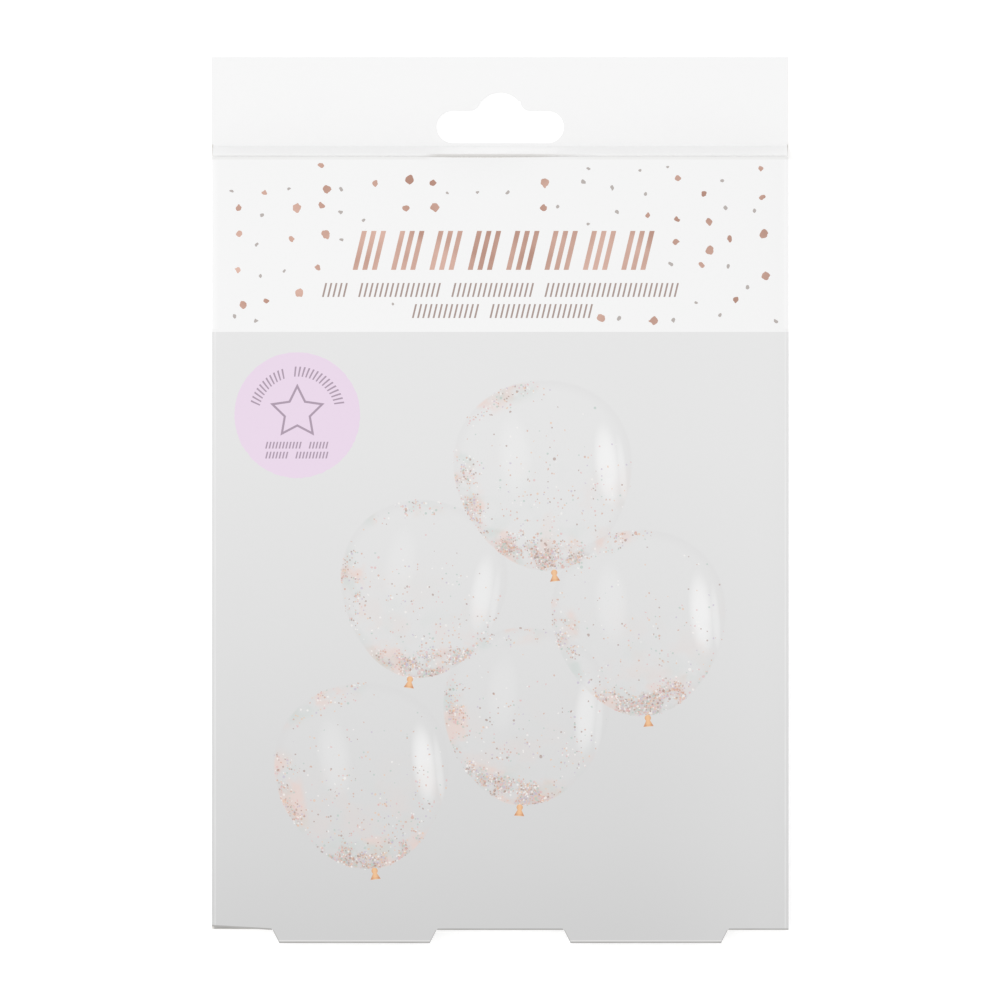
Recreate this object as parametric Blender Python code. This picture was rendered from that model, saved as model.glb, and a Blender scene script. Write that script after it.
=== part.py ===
"""A flat hanging carton for party balloons, folded and glued from one sheet of card.

The carton lies on its back with the printed front up. X runs across it, Y up towards the
hanging header, and Z out of the front. The origin is on the floor under the middle of the
whole outline. The carton is empty.

The sheet is six objects, parted only at creases: the tube of the body with its header, the
glued bottom, the two dust flaps, the lid, and the tuck flap along the lid's front edge. Only the
last two move.
"""
import math

import bmesh
import bpy

MM = 0.001

# Card
BOARD = 0.4 * MM  # thickness of the card
GAP = 0.3 * MM  # clearance between two faces of the card that touch
FOLD_RADIUS = 0.8 * MM  # outside of the folds along the sides
SMALLEST_RADIUS = 0.1 * MM  # of a corner inside the folds

# Body
WIDTH = 145 * MM
SIDE_DEPTH = 9 * MM  # back to front, at the side folds
FRONT_BOW = 1 * MM  # how far the front panel bows out at its middle
FRONT_HEIGHT = 194 * MM
END_RECESS = 0.3 * MM  # of the glued bottom and the dust flaps, inside the body's ends
NOTCH_DEPTH = 3.3 * MM  # where the feet were cut out of the bottom's outer layer

# Feet, which stay in the plane of the front panel
FOOT_HEIGHT = 3.3 * MM
FOOT_ROOT = 41.2 * MM
FOOT_TIP = 37.8 * MM
FEET_APART = 32 * MM  # between their roots

# Header, two layers of card folded over at the top
HEADER_HEIGHT = 22.9 * MM
HEADER_LAP = 0.8 * MM  # of the header's foot on the back panel

# Hang slot through both layers
SLOT_LENGTH = 32 * MM
SLOT_HEIGHT = 8 * MM
SLOT_RISE = 1.2 * MM  # above the lid's crease
BUMP_RADIUS = 6 * MM
BUMP_HEIGHT = 4.6 * MM  # above the slot's upper edge
BUMP_FILLET = 2.5 * MM

# Lid and flaps
LID_DROP = 2.8 * MM  # from the lid's crease down to the front panel's top edge
LID_INSET = 0.2 * MM  # of the lid's ends, inside the sides
TUCK_INSET = 1.2 * MM  # of the flap's ends, inside the side walls
TUCK_CORNER = 5 * MM
SWING_CLEARANCE = 0.4 * MM  # between the flap and the front panel, as the flap swings past
PASSING_CLEARANCE = 0.4 * MM  # between the flap's free edge and the dust flaps, as it passes them
DUST_FLAP_LENGTH = 15 * MM
DUST_FLAP_TAPER = 3 * MM
DUST_FLAP_CLEARANCE = 1.2 * MM  # between the dust flaps and the tuck flap, with the lid shut

# Steps in the round stretches
FOLD_STEPS = 5
BOW_STEPS = 24
ROUND_STEPS = 12

# Places along Y, from the lowest edge of the feet up
HEIGHT = FOOT_HEIGHT + FRONT_HEIGHT + LID_DROP + HEADER_HEIGHT
FEET_EDGE = -HEIGHT / 2
LOWER_EDGE = FEET_EDGE + FOOT_HEIGHT
FRONT_EDGE = LOWER_EDGE + FRONT_HEIGHT
CREASE = FRONT_EDGE + LID_DROP
HEADER_EDGE = CREASE + HEADER_HEIGHT

# Levels along Z
HEADER_FACE = 2 * BOARD + GAP
LID_AXIS = HEADER_FACE + GAP + BOARD / 2

# The tuck flap's crease, which is level with the front panel's top edge
SWING = SIDE_DEPTH - 3 * BOARD / 2 - SWING_CLEARANCE - LID_AXIS  # its distance from the lid's
LEAN = math.asin(LID_DROP / SWING)  # of the line between the two creases, from +Z
TUCK_AXIS = LID_AXIS + SWING * math.cos(LEAN)

# The dust flaps, along Y and then Z
DUST_FLAP_LEVEL = FRONT_EDGE - END_RECESS - BOARD / 2
DUST_FLAP_BACK = BOARD + GAP
DUST_FLAP_FRONT = TUCK_AXIS - BOARD / 2 - DUST_FLAP_CLEARANCE

# Ways to turn an outline, which is thick along its own Z
LYING = (0, 0, 0)  # across X and Y
UPRIGHT = (math.radians(90), 0, 0)  # across X and Z, thick along Y
SIDEWAYS = (math.radians(90), 0, math.radians(90))  # across Y and Z, thick along X


def clear_scene():
    for thing in list(bpy.data.objects):
        bpy.data.objects.remove(thing, do_unlink=True)


def new_collection(name):
    collection = bpy.data.collections.new(name)
    bpy.context.scene.collection.children.link(collection)
    return collection


def card_material():
    """White coated card, satin where it is printed."""
    material = bpy.data.materials.new("white card")
    material.use_nodes = True
    shader = material.node_tree.nodes["Principled BSDF"]
    shader.inputs["Base Color"].default_value = (0.9, 0.9, 0.9, 1)
    shader.inputs["Roughness"].default_value = 0.55
    shader.inputs["Metallic"].default_value = 0
    return material


def arc(centre, radius, start, end, steps):
    """Points round a centre, from one angle to another, in degrees."""
    points = []
    for step in range(steps + 1):
        angle = math.radians(start + (end - start) * step / steps)
        points.append((centre[0] + radius * math.cos(angle), centre[1] + radius * math.sin(angle)))
    return points


def plate(name, collection, outlines, thickness, location=(0, 0, 0), rotation=LYING):
    """A flat piece of an outline, centred on its own plane. A second outline is a hole in it."""
    curve = bpy.data.curves.new(name, "CURVE")
    curve.dimensions = "2D"
    curve.fill_mode = "BOTH"
    curve.extrude = thickness / 2
    for outline in outlines:
        spline = curve.splines.new("POLY")
        spline.points.add(len(outline) - 1)
        for point, (u, v) in zip(spline.points, outline):
            point.co = (u, v, 0, 1)
        spline.use_cyclic_u = True
    drawing = bpy.data.objects.new(name, curve)
    collection.objects.link(drawing)
    evaluated = drawing.evaluated_get(bpy.context.evaluated_depsgraph_get())
    mesh = bpy.data.meshes.new_from_object(evaluated)
    bpy.data.objects.remove(drawing, do_unlink=True)
    bpy.data.curves.remove(curve)

    welded = bmesh.new()
    welded.from_mesh(mesh)
    bmesh.ops.remove_doubles(welded, verts=welded.verts, dist=1e-6)
    bmesh.ops.recalc_face_normals(welded, faces=welded.faces)
    welded.to_mesh(mesh)
    welded.free()
    piece = bpy.data.objects.new(name, mesh)
    piece.location = location
    piece.rotation_euler = rotation
    collection.objects.link(piece)
    return piece


def combine(target, operation, tools):
    """Join tools to a piece, or cut them out of it, with a live Boolean for each."""
    for tool in tools:
        modifier = target.modifiers.new(tool.name, "BOOLEAN")
        modifier.operation = operation
        modifier.solver = "EXACT"
        modifier.object = tool
        tool.hide_render = True
        tool.display_type = "WIRE"


def hang_on(child, parent):
    """Parent a piece where it already is."""
    bpy.context.view_layer.update()
    child.parent = parent
    child.matrix_parent_inverse = parent.matrix_world.inverted()


def bow(x):
    """How far the front panel stands out of the plane of its side folds."""
    flat_half = WIDTH / 2 - FOLD_RADIUS
    return FRONT_BOW * (1 - (x / flat_half) ** 2)


def body_outline(inset):
    """Section of the body across X and Z, a distance inside its outer face."""
    radius = max(FOLD_RADIUS - inset, SMALLEST_RADIUS)
    centre_x = WIDTH / 2 - inset - radius
    low = inset + radius
    high = SIDE_DEPTH - inset - radius
    front = []
    for step in range(1, BOW_STEPS):
        x = centre_x * (1 - 2 * step / BOW_STEPS)
        front.append((x, SIDE_DEPTH - inset + bow(x)))
    return (
        arc((-centre_x, low), radius, 180, 270, FOLD_STEPS)
        + arc((centre_x, low), radius, 270, 360, FOLD_STEPS)
        + arc((centre_x, high), radius, 0, 90, FOLD_STEPS)
        + front
        + arc((-centre_x, high), radius, 90, 180, FOLD_STEPS)
    )


def header_outline():
    """Section of the header across Y and Z: the card goes up, folds over and comes down."""
    foot = FRONT_EDGE - HEADER_LAP
    fold = (HEADER_EDGE - HEADER_FACE / 2, HEADER_FACE / 2)
    return (
        [(foot, 0)]
        + arc(fold, HEADER_FACE / 2, -90, 90, ROUND_STEPS)
        + [(CREASE, HEADER_FACE), (CREASE, HEADER_FACE - BOARD)]
        + arc(fold, GAP / 2, 90, -90, ROUND_STEPS)
        + [(foot, BOARD)]
    )


def slot_outline():
    """The hang slot: a long slot with round ends, and a bump in the middle of its upper edge."""
    end = SLOT_HEIGHT / 2
    straight = SLOT_LENGTH / 2 - end
    low = CREASE + SLOT_RISE
    top = low + SLOT_HEIGHT
    bump = top + BUMP_HEIGHT - BUMP_RADIUS
    rise = top + BUMP_FILLET - bump
    reach = math.sqrt((BUMP_RADIUS + BUMP_FILLET) ** 2 - rise**2)
    lean = math.degrees(math.atan2(rise, reach))
    return (
        arc((straight, low + end), end, -90, 90, ROUND_STEPS)
        + arc((reach, top + BUMP_FILLET), BUMP_FILLET, 270, 180 + lean, ROUND_STEPS // 2)
        + arc((0, bump), BUMP_RADIUS, lean, 180 - lean, 2 * ROUND_STEPS)
        + arc((-reach, top + BUMP_FILLET), BUMP_FILLET, -lean, -90, ROUND_STEPS // 2)
        + arc((-straight, low + end), end, 90, 270, ROUND_STEPS)
    )


def foot_corners(side):
    """A foot's four corners across X and Y, from the inner root round to the outer root."""
    inner = FEET_APART / 2
    outer = inner + FOOT_ROOT
    taper = (FOOT_ROOT - FOOT_TIP) / 2
    return [
        (side * inner, LOWER_EDGE),
        (side * (inner + taper), FEET_EDGE),
        (side * (outer - taper), FEET_EDGE),
        (side * outer, LOWER_EDGE),
    ]


def lid_shape():
    """The lid's length and its slope from +Y.

    The tuck flap's crease is on the lid's inner side, with room for the flap to fold flat
    against the lid.
    """
    offset = BOARD + GAP
    length = math.sqrt(SWING**2 - offset**2)
    slope = math.pi / 2 + LEAN - math.asin(offset / SWING)
    return length, slope


def tuck_depth():
    """Depth of the tuck flap, which is clear of the dust flaps before it swings down to them.

    The flap stays level with the front panel as the lid opens. When its back face comes down
    to the dust flaps' front edges, its free edge is already past them.
    """
    rise = DUST_FLAP_FRONT + BOARD / 2 - LID_AXIS
    crease_then = CREASE + math.sqrt(SWING**2 - rise**2)
    return crease_then - PASSING_CLEARANCE - (DUST_FLAP_LEVEL + BOARD / 2)


def make_carton(collection, shop):
    """The tube of the body, with its feet and the doubled header."""
    spare = 2 * FOOT_HEIGHT
    lowest = FEET_EDGE - spare
    carton = plate(
        "carton",
        collection,
        [body_outline(0), body_outline(BOARD)],
        FRONT_EDGE - lowest,
        (0, (FRONT_EDGE + lowest) / 2, 0),
        UPRIGHT,
    )

    edge = WIDTH / 2 + spare
    floor = [(edge, LOWER_EDGE), (edge, lowest - spare), (-edge, lowest - spare), (-edge, LOWER_EDGE)]
    around_the_feet = floor + foot_corners(-1)[::-1] + foot_corners(1)
    height = 3 * (SIDE_DEPTH + FRONT_BOW)
    back_cutter = plate("back cutter", shop, [floor], SIDE_DEPTH)
    feet_cutter = plate("feet cutter", shop, [around_the_feet], height)
    combine(carton, "DIFFERENCE", [back_cutter, feet_cutter])

    header = plate("header", shop, [header_outline()], WIDTH, rotation=SIDEWAYS)
    combine(carton, "UNION", [header])
    slot = plate("hang slot", shop, [slot_outline()], 4 * HEADER_FACE)
    combine(carton, "DIFFERENCE", [slot])
    return carton


def make_bottom(collection, shop):
    """The glued bottom, two layers of card inside the body's lower end."""
    middle = LOWER_EDGE + END_RECESS + BOARD
    outline = body_outline(BOARD + GAP)
    bottom = plate("bottom", collection, [outline], 2 * BOARD, (0, middle, 0), UPRIGHT)
    combine(bottom, "DIFFERENCE", [make_notch(shop, side) for side in (-1, 1)])
    return bottom


def make_dust_flap(collection, side):
    """A side's flap, folded in under the lid, with its two free corners cut off."""
    root = side * (WIDTH / 2 - BOARD - GAP)
    tip = side * (WIDTH / 2 - DUST_FLAP_LENGTH)
    shoulder = tip + side * DUST_FLAP_TAPER
    chamfer = min(DUST_FLAP_TAPER / 2, (DUST_FLAP_FRONT - DUST_FLAP_BACK) / 3)
    outline = [
        (root, DUST_FLAP_BACK),
        (shoulder, DUST_FLAP_BACK),
        (tip, DUST_FLAP_BACK + chamfer),
        (tip, DUST_FLAP_FRONT - chamfer),
        (shoulder, DUST_FLAP_FRONT),
        (root, DUST_FLAP_FRONT),
    ]
    name = "left_dust_flap" if side < 0 else "right_dust_flap"
    return plate(name, collection, [outline], BOARD, (0, DUST_FLAP_LEVEL, 0), UPRIGHT)


def make_notch(shop, side):
    """The place in the bottom's outer layer that a foot was cut from, open to the front."""
    front = SIDE_DEPTH - BOARD - GAP
    depths = (-GAP, NOTCH_DEPTH, NOTCH_DEPTH, -GAP)
    outline = [
        (corner[0], front + bow(corner[0]) - depth)
        for corner, depth in zip(foot_corners(side), depths)
    ]
    name = "left notch" if side < 0 else "right notch"
    thickness = 2 * (END_RECESS + BOARD)
    return plate(name, shop, [outline], thickness, (0, LOWER_EDGE, 0), UPRIGHT)


def make_lid(collection):
    """The sloping lid, with its origin on the crease at the foot of the header."""
    length, slope = lid_shape()
    nose = BOARD / 2
    section = arc((length, 0), nose, -90, 90, ROUND_STEPS // 2) + arc(
        (0, 0), nose, 90, 270, ROUND_STEPS // 2
    )
    turn = (math.radians(90), -slope, math.radians(90))
    return plate("lid", collection, [section], WIDTH - 2 * LID_INSET, (0, CREASE, LID_AXIS), turn)


def make_tuck_flap(collection):
    """The flap behind the front panel, with its origin on its crease."""
    half = WIDTH / 2 - BOARD - TUCK_INSET
    depth = tuck_depth()
    radius = min(TUCK_CORNER, depth - BOARD)
    corner = half - radius
    low = radius - depth
    outline = (
        [(half, 0), (-half, 0)]
        + arc((-corner, low), radius, 180, 270, ROUND_STEPS)
        + arc((corner, low), radius, 270, 360, ROUND_STEPS)
    )
    return plate("tuck_flap", collection, [outline], BOARD, (0, FRONT_EDGE, TUCK_AXIS))


def main():
    clear_scene()
    collection = new_collection("balloon carton")
    shop = new_collection("cutters")
    carton = make_carton(collection, shop)
    bottom = make_bottom(collection, shop)
    dust_flaps = [make_dust_flap(collection, side) for side in (-1, 1)]
    lid = make_lid(collection)
    tuck_flap = make_tuck_flap(collection)
    for piece in (bottom, *dust_flaps, lid):
        hang_on(piece, carton)
    hang_on(tuck_flap, lid)
    card = card_material()
    for piece in (carton, bottom, *dust_flaps, lid, tuck_flap):
        piece.data.materials.append(card)


main()
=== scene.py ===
"""Looks of a flat hanging carton for party balloons: its folded card, its print and its light."""
import logging
import math
from collections.abc import Callable, Iterable
from dataclasses import dataclass, field
from enum import Enum
from functools import reduce
from operator import or_

import bmesh
import bpy
import numpy as np
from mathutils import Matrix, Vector


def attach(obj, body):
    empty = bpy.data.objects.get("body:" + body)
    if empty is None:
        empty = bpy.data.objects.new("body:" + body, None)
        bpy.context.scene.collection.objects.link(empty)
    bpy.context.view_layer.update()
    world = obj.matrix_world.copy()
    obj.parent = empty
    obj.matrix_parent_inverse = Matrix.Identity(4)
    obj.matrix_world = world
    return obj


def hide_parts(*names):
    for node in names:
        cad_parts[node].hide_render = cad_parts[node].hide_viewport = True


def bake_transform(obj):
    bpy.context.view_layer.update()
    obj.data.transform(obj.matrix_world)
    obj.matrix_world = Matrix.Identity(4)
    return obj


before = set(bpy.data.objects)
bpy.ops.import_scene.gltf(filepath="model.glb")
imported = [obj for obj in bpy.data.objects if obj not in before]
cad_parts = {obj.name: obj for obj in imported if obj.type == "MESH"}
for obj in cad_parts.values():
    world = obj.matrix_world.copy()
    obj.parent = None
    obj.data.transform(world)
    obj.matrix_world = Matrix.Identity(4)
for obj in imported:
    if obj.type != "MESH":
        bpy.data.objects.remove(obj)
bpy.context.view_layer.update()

LOG = logging.getLogger("carton")
MM = 0.001
BAKE_MAP = "OFBake"  # the UV map, with most of its room for the printed front
ALMOST = 0.9999  # of a half width, so that two rounds don't meet in one edge

Point = tuple[float, float, float]
Colour = tuple[float, float, float]

# Places and sizes that the card and its print share, in millimetres.
HALF_WIDTH = 72.5
FRONT_LEVEL = 8.5  # which the whole front lies above
BAND_FOOT = 42.1  # of the front's white band
LOWER_EDGE = -108.2
FEET = (16.0, 57.2)  # their inner and outer ends
FOOT_HEIGHT = 3.3
FOOT_TAPER = 1.7  # of each end of a foot
FOOT_SHARE = 1 - 2 * FOOT_TAPER / (FEET[1] - FEET[0])  # of its length that it stands on
CORNER_LIFT = 0.9  # of the front's lower left corner


class Part(Enum):
    """What a selection is made of."""

    CORNER = "VERT"
    EDGE = "EDGE"
    FACE = "FACE"


class Side(Enum):
    """The faces of the card, by material slot."""

    PRINTED = 0
    INSIDE = 1
    CUT = 2
    PICTURE = 3


def activate(*bodies: bpy.types.Object) -> None:
    """Leave edit mode and select these objects alone, with the last one active.

    Args:
        bodies: The objects.
    """
    if bpy.context.mode != "OBJECT":
        bpy.ops.object.mode_set(mode="OBJECT")
    bpy.ops.object.select_all(action="DESELECT")
    for body in bodies:
        body.select_set(True)
        bpy.context.view_layer.objects.active = body


def near(a: float, b: float) -> bool:
    """Whether two places are the same to a hundredth of a millimetre."""
    return abs(a - b) < 0.01


class Piece:
    """One mesh on the bench, shaped in edit mode."""

    def __init__(self, name: str, low: Point, high: Point, flat: bool = False) -> None:
        """Start from a block, or from a flat sheet, between two corners in millimetres.

        Args:
            name: The piece's name.
            low: Its lowest corner.
            high: Its highest corner.
            flat: Whether it is a sheet across X and Y.
        """
        activate()
        middle = [(a + b) / 2 * MM for a, b in zip(low, high)]
        add = bpy.ops.mesh.primitive_plane_add if flat else bpy.ops.mesh.primitive_cube_add
        add(size=1, location=middle)
        self.body = bpy.context.object
        self.body.name = self.body.data.name = name
        self.body.scale = [(b - a) * MM or 1 for a, b in zip(low, high)]
        bpy.ops.object.transform_apply(location=True, rotation=True, scale=True)

    def pick(self, part: Part, test: Callable[[Vector, Vector], bool]) -> None:
        """Select, in edit mode, what passes a test.

        Args:
            part: Corners, edges or faces.
            test: Takes the middle in millimetres, and the normal, or an edge's direction.
        """
        if bpy.context.mode != "EDIT_MESH":
            bpy.ops.object.mode_set(mode="EDIT")
        bpy.ops.mesh.select_mode(type=part.value)
        bpy.ops.mesh.select_all(action="DESELECT")
        mesh = bmesh.from_edit_mesh(self.body.data)
        if part is Part.CORNER:
            rows = [(v, v.co, v.normal) for v in mesh.verts]
        elif part is Part.EDGE:
            rows = [
                (e, (e.verts[0].co + e.verts[1].co) / 2, (e.verts[1].co - e.verts[0].co).normalized())
                for e in mesh.edges
            ]
        else:
            rows = [(f, f.calc_center_median(), f.normal) for f in mesh.faces]
        for item, middle, way in rows:
            if test(middle / MM, way):
                item.select_set(True)
        mesh.select_flush_mode()
        bmesh.update_edit_mesh(self.body.data)

    def pick_all(self) -> None:
        """Select the whole mesh."""
        self.pick(Part.FACE, lambda middle, way: True)

    def move(self, x: float = 0, y: float = 0, z: float = 0) -> None:
        """Move what is selected, in millimetres."""
        bpy.ops.transform.translate(value=(x * MM, y * MM, z * MM))

    def move_rows(
        self, test: Callable[[Vector], bool], shift: Callable[[float], tuple[float, float]]
    ) -> None:
        """Move the corners that pass a test along Y and Z, each by its own amount.

        Args:
            test: Takes a corner's place in millimetres.
            shift: Takes its place along X, and gives its move.
        """
        self.pick(Part.CORNER, lambda at, way: test(at))
        corners = bmesh.from_edit_mesh(self.body.data).verts
        for x in sorted({round(v.co.x / MM, 3) for v in corners if v.select}):
            self.pick(Part.CORNER, lambda at, way: test(at) and abs(at.x - x) < 0.001)
            y, z = shift(x)
            self.move(y=y, z=z)

    def resize(self, scale: Point, centre: Point) -> None:
        """Resize what is selected about a point in millimetres."""
        bpy.ops.transform.resize(value=scale, center_override=[c * MM for c in centre])

    def extrude(self, x: float = 0, y: float = 0, z: float = 0) -> None:
        """Draw the selected edges out, in millimetres."""
        bpy.ops.mesh.extrude_edges_move(TRANSFORM_OT_translate={"value": (x * MM, y * MM, z * MM)})

    def spin(self, angle: float, centre: Point, axis: Point, steps: int) -> None:
        """Turn the selected edges right-handed round an axis, in degrees, with faces behind them."""
        bpy.ops.mesh.spin(
            steps=steps, angle=-math.radians(angle), center=[c * MM for c in centre], axis=axis
        )

    def bevel(self, axis: int, radius: float, steps: int) -> None:
        """Round the edges along an axis, by a radius in millimetres."""
        self.pick(Part.EDGE, lambda at, way: abs(way[axis]) > 0.9)
        bpy.ops.mesh.bevel(offset=radius * MM, segments=steps, affect="EDGES")

    def bisect(self, axis: int, at: float) -> None:
        """Cut the selected faces by a plane.

        Args:
            axis: The axis that the plane stands across.
            at: Its place there, in millimetres.
        """
        place, normal = Vector(), Vector()
        place[axis], normal[axis] = at * MM, 1.0
        bpy.ops.mesh.bisect(plane_co=place, plane_no=normal)

    def slice(self, axis: int, places: Iterable[float]) -> None:
        """Cut the whole mesh by several planes.

        Args:
            axis: The axis that they stand across.
            places: Their places there, in millimetres.
        """
        for at in places:
            self.pick_all()
            self.bisect(axis, at)

    def settle(self, up: Callable[[Vector], bool]) -> None:
        """Merge doubles and turn the faces outwards.

        Args:
            up: Tells, by its middle in millimetres, a face that has to look up.
        """
        self.pick_all()
        bpy.ops.mesh.remove_doubles(threshold=1e-7)
        bpy.ops.mesh.normals_make_consistent(inside=False)
        mesh = bmesh.from_edit_mesh(self.body.data)
        turned = [f.normal.z for f in mesh.faces if up(f.calc_center_median() / MM)]
        if sum(turned) < 0:
            bpy.ops.mesh.flip_normals()

    def modify(self, kind: str, **settings: object) -> None:
        """Add a modifier, and apply it.

        Args:
            kind: Its type.
            settings: Its settings.
        """
        activate(self.body)
        modifier = self.body.modifiers.new(kind.lower(), kind)
        for name, value in settings.items():
            setattr(modifier, name, value)
        bpy.ops.object.modifier_apply(modifier=modifier.name)

    def thicken(self, board: float) -> None:
        """Give the sheet its board inwards, with the inside and the cut edges in their slots.

        Args:
            board: The board's thickness in millimetres.
        """
        self.modify(
            "SOLIDIFY",
            thickness=board * MM,
            offset=-1,
            use_even_offset=True,
            material_offset=Side.INSIDE.value,
            material_offset_rim=Side.CUT.value,
        )

    def cut(self, tool: "Piece", operation: str = "DIFFERENCE") -> None:
        """Cut a tool out of the piece, or join it on, and remove the tool.

        Args:
            tool: The tool.
            operation: DIFFERENCE or UNION.
        """
        self.modify("BOOLEAN", object=tool.body, operation=operation, solver="EXACT")
        mesh = tool.body.data
        bpy.data.objects.remove(tool.body, do_unlink=True)
        bpy.data.meshes.remove(mesh)

    def join(self, other: "Piece") -> None:
        """Take another closed body into this piece."""
        activate(other.body, self.body)
        bpy.ops.object.join()

    def smooth(self, angle: float = 35) -> None:
        """Shade smooth over bends softer than an angle in degrees."""
        activate(self.body)
        bpy.ops.object.shade_smooth_by_angle(angle=math.radians(angle))


def operator_of(operation: str, swapped: bool = False) -> "Callable[[Wire, Wire | float], Wire]":
    """An operator between wires that adds a Math node.

    Args:
        operation: The node's operation.
        swapped: Whether the wire is its second input.

    Returns:
        The operator.
    """

    def apply(self: "Wire", other: "Wire | float") -> "Wire":
        """The node's result."""
        return self.maths(operation, other, self) if swapped else self.maths(operation, self, other)

    return apply


class Wire:
    """A node's output that adds Math nodes as it is used in sums."""

    __add__ = __radd__ = operator_of("ADD")
    __sub__ = operator_of("SUBTRACT")
    __rsub__ = operator_of("SUBTRACT", swapped=True)
    __mul__ = __rmul__ = operator_of("MULTIPLY")
    __truediv__ = operator_of("DIVIDE")
    __pow__ = operator_of("POWER")
    __gt__ = operator_of("GREATER_THAN")
    __lt__ = operator_of("LESS_THAN")
    __or__ = operator_of("MAXIMUM")

    def __init__(self, paint: "Paint", socket: bpy.types.NodeSocket) -> None:
        """Wrap an output of a paint's node."""
        self.paint = paint
        self.socket = socket

    def maths(self, operation: str, *values: "Wire | float") -> "Wire":
        """A Math node of these values.

        Args:
            operation: The node's operation.
            values: Its inputs in order.

        Returns:
            The node's result.
        """
        return self.paint.node("ShaderNodeMath", {"operation": operation}, dict(enumerate(values)))

    def __abs__(self) -> "Wire":
        """Size without sign."""
        return self.maths("ABSOLUTE", self)

    def floor(self) -> "Wire":
        """The whole number below."""
        return self.maths("FLOOR", self)

    def within(self, low: float, high: float) -> "Wire":
        """One between two numbers, otherwise nought."""
        return (self > low) * (self < high)

    def ease(self, low: float, high: float, start: float, end: float) -> "Wire":
        """A smooth step.

        Args:
            low: Where it starts.
            high: Where it ends.
            start: The value up to there.
            end: The value from there on.

        Returns:
            The eased value.
        """
        return self.paint.node(
            "ShaderNodeMapRange",
            {"interpolation_type": "SMOOTHSTEP"},
            {"Value": self, "From Min": low, "From Max": high, "To Min": start, "To Max": end},
        )

    def rise(self, low: float, high: float) -> "Wire":
        """A smooth step from nought at one number to one at another."""
        return self.ease(low, high, 0.0, 1.0)

    def fall(self, low: float, high: float) -> "Wire":
        """A smooth step from one down to nought."""
        return self.ease(low, high, 1.0, 0.0)


def ink(red: float, green: float, blue: float, paper: float = 0.92) -> Colour:
    """A printed colour.

    Args:
        red: Level out of 255 as it shows in the studio's light.
        green: The same.
        blue: The same.
        paper: Share of the light that the whitest paper gives back.

    Returns:
        The linear colour of the surface.
    """
    return tuple(
        paper * (c / 255 / 12.92 if c <= 10 else ((c / 255 + 0.055) / 1.055) ** 2.4)
        for c in (red, green, blue)
    )


class Paint:
    """A material that is made of nodes."""

    def __init__(self, name: str) -> None:
        """Make the material with a Principled shader and the object's own coordinates.

        Args:
            name: The material's name.
        """
        self.material = bpy.data.materials.new(name)
        self.material.use_nodes = True
        self.tree = self.material.node_tree
        self.shader = next(n for n in self.tree.nodes if n.type == "BSDF_PRINCIPLED")
        self.place = self.node("ShaderNodeTexCoord", {}, {}, "Object")
        self.x, self.y, self.z = (self.split(self.place, axis) * 1000.0 for axis in ("X", "Y", "Z"))
        self.colour: Wire | Colour = (1.0, 1.0, 1.0)

    def node(
        self, kind: str, settings: dict[str, object], inputs: dict, output: int | str = 0
    ) -> Wire:
        """Add a node.

        Args:
            kind: The node's type.
            settings: Its settings, which are set first. Stops are a ramp's places and colours.
            inputs: Values or links of its sockets, by name or number.
            output: The output that is wanted.

        Returns:
            That output.
        """
        made = self.tree.nodes.new(kind)
        for name, value in settings.items():
            if name == "stops":
                self.set_stops(made.color_ramp, value)
            else:
                setattr(made, name, value)
        for name, value in inputs.items():
            self.plug(made.inputs[name], value)
        return Wire(self, made.outputs[output])

    def plug(self, socket: bpy.types.NodeSocket, value: Wire | float | Colour) -> None:
        """Link a socket, or set it.

        Args:
            socket: The socket.
            value: A wire, a number or a colour.
        """
        if isinstance(value, Wire):
            self.tree.links.new(value.socket, socket)
        else:
            socket.default_value = (*value, 1) if socket.type == "RGBA" else value

    def feed(self, socket: str, value: Wire | float | Colour) -> None:
        """Link or set a socket of the shader."""
        self.plug(self.shader.inputs[socket], value)

    @staticmethod
    def set_stops(ramp: bpy.types.ColorRamp, stops: list[tuple[float, Colour]]) -> None:
        """Set a ramp's stops.

        Args:
            ramp: The ramp.
            stops: Its places and their colours.
        """
        while len(ramp.elements) < len(stops):
            ramp.elements.new(0.5)
        for element, (place, colour) in zip(ramp.elements, stops):
            element.position = place
            element.color = (*colour, 1)

    def split(self, vector: Wire, axis: str) -> Wire:
        """One part of a vector."""
        return self.node("ShaderNodeSeparateXYZ", {}, {0: vector}, axis)

    def vector(self, x: Wire | float, y: Wire | float) -> Wire:
        """A vector across X and Y."""
        return self.node("ShaderNodeCombineXYZ", {}, {"X": x, "Y": y})

    def over(self, below: Wire | Colour, above: Wire | Colour, share: Wire | float) -> Wire:
        """Lay a colour over another.

        Args:
            below: The colour below.
            above: The colour above.
            share: How much of it covers.

        Returns:
            The mixed colour.
        """
        return self.node("ShaderNodeMix", {"data_type": "RGBA"}, {0: share, 6: below, 7: above}, 2)

    def lay(self, colour: Wire | Colour, share: Wire | float) -> None:
        """Lay a colour over what is painted so far."""
        self.colour = self.over(self.colour, colour, share)

    def noise(self, scale: float, detail: float = 2.0, output: int | str = 0) -> Wire:
        """Fine noise over the object, with its scale in lumps to the metre."""
        inputs = {"Vector": self.place, "Scale": scale, "Detail": detail}
        return self.node("ShaderNodeTexNoise", {}, inputs, output)

    def ramp(self, value: Wire, stops: list[tuple[float, Colour]], step: bool = False) -> Wire:
        """A colour by value.

        Args:
            value: The value, from 0 to 1.
            stops: Its places and their colours.
            step: Whether the colour changes in sudden steps.

        Returns:
            The colour.
        """
        made = self.node("ShaderNodeValToRGB", {"stops": stops}, {0: value})
        made.socket.node.color_ramp.interpolation = "CONSTANT" if step else "LINEAR"
        return made

    def bump(self, height: Wire, depth: float, strength: float) -> None:
        """Raise the surface a little by a height from 0 to 1, with the depth in millimetres."""
        inputs = {"Height": height, "Distance": depth * MM, "Strength": strength}
        self.feed("Normal", self.node("ShaderNodeBump", {}, inputs))


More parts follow.
